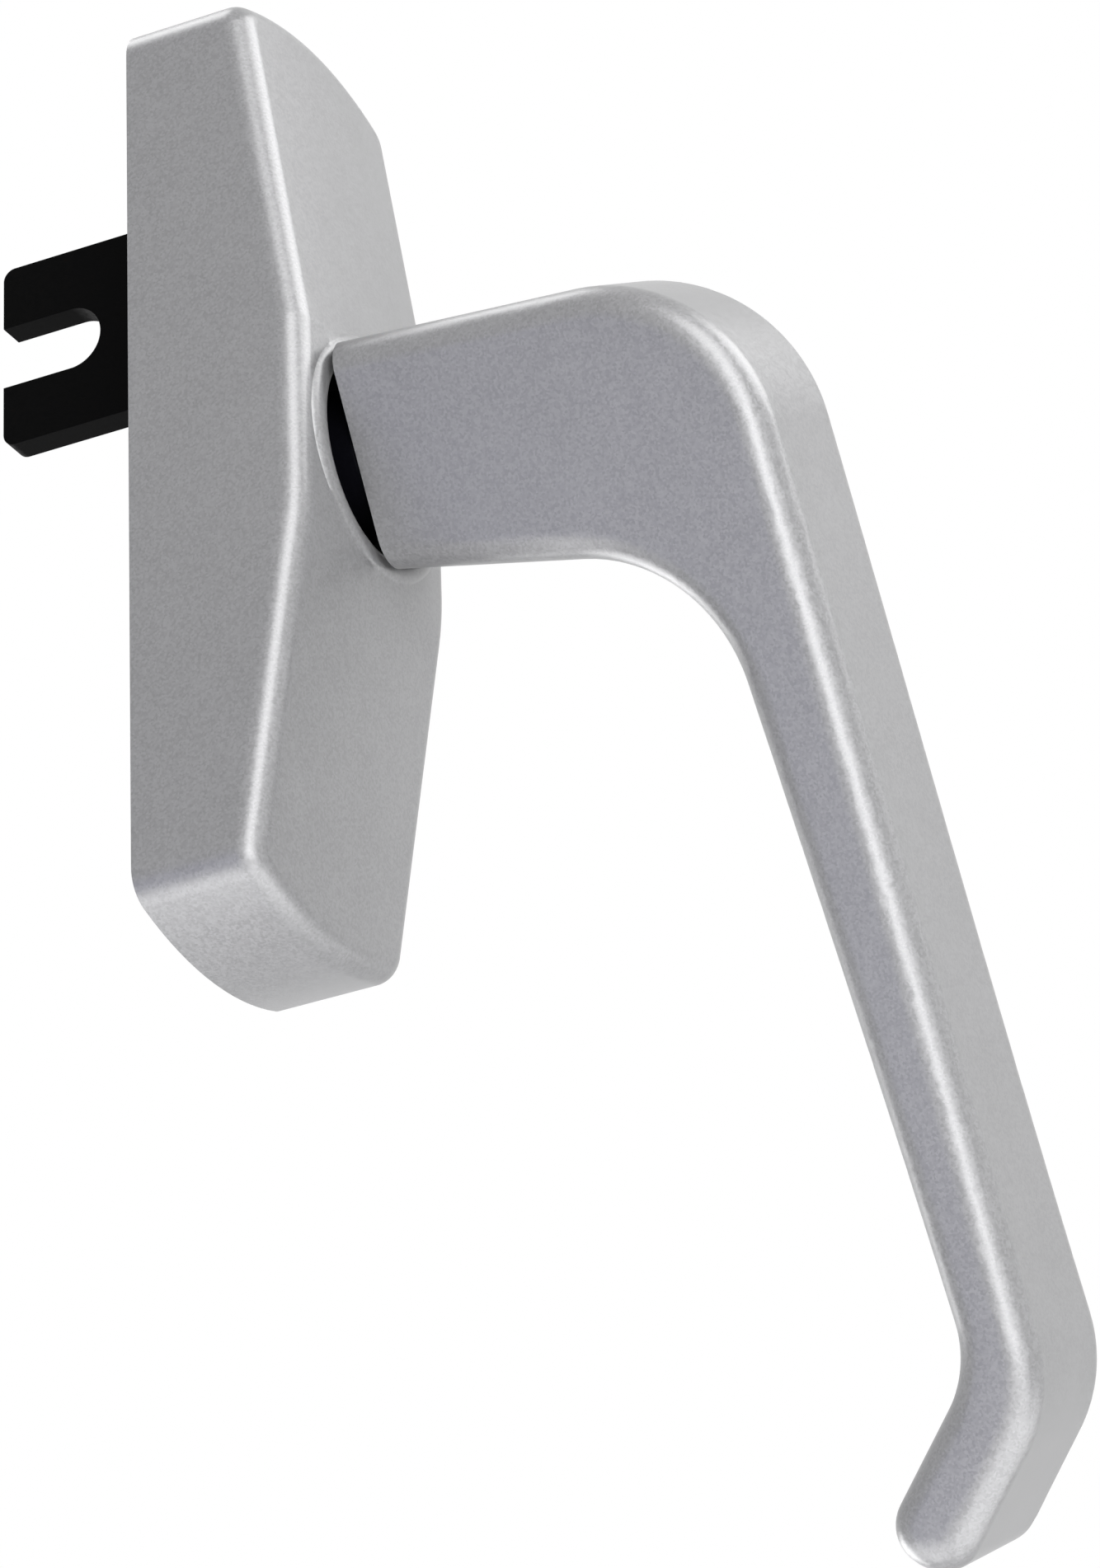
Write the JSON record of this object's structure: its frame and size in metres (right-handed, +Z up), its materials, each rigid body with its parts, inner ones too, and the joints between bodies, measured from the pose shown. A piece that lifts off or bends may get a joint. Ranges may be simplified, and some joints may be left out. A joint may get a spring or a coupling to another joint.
{
  "type": "window handle",
  "caption": "Window handle: a cranked lever on a slim arched housing turns a pinion that slides a slotted drive fork behind it.",
  "frame": {"origin": "on the lever's turning axis, in the mounting plane at the housing's back", "axes": "+X to the right seen from the room, +Y into the window frame, +Z up along the housing"},
  "size_m": [0.0927, 0.0996, 0.1771],
  "materials": {
    "silver_casting": "satin silver coating on a die casting",
    "black_nylon": "moulded, matt",
    "zinc_plated_steel": "zinc plated",
    "bearing_steel": "bright drawn",
    "sintered_steel": "sintered, dull grey",
    "black_steel": "black coated steel"
  },
  "bodies": {
    "housing": {"housing": "silver_casting", "neck_bush": "black_nylon", "back_plate": "zinc_plated_steel", "back_plate_screws": "zinc_plated_steel", "detent_ball_upper": "bearing_steel", "detent_ball_lower": "bearing_steel", "detent_spring_upper": "bearing_steel", "detent_spring_lower": "bearing_steel"},
    "lever": {"lever": "silver_casting", "spindle": "bearing_steel", "pinion": "sintered_steel", "thrust_washer": "bearing_steel", "retaining_washer": "zinc_plated_steel", "retaining_screw": "zinc_plated_steel"},
    "slider": {"rack_slider": "black_steel", "drive_fork": "black_steel"}
  },
  "joints": [
    {"name": "lever_turn", "type": "hinge", "parent": "housing", "child": "lever", "pos_m": [0, 0, 0], "axis": [0, -1, 0], "range_deg": [-30, 60]},
    {"name": "fork_slide", "type": "slide", "parent": "housing", "child": "slider", "axis": [0, 0, 1], "range_m": [-0.00472, 0.00943]}
  ],
  "couplings": [
    {"joint": "fork_slide", "follows": "lever_turn", "m_per_rad": 0.009}
  ]
}
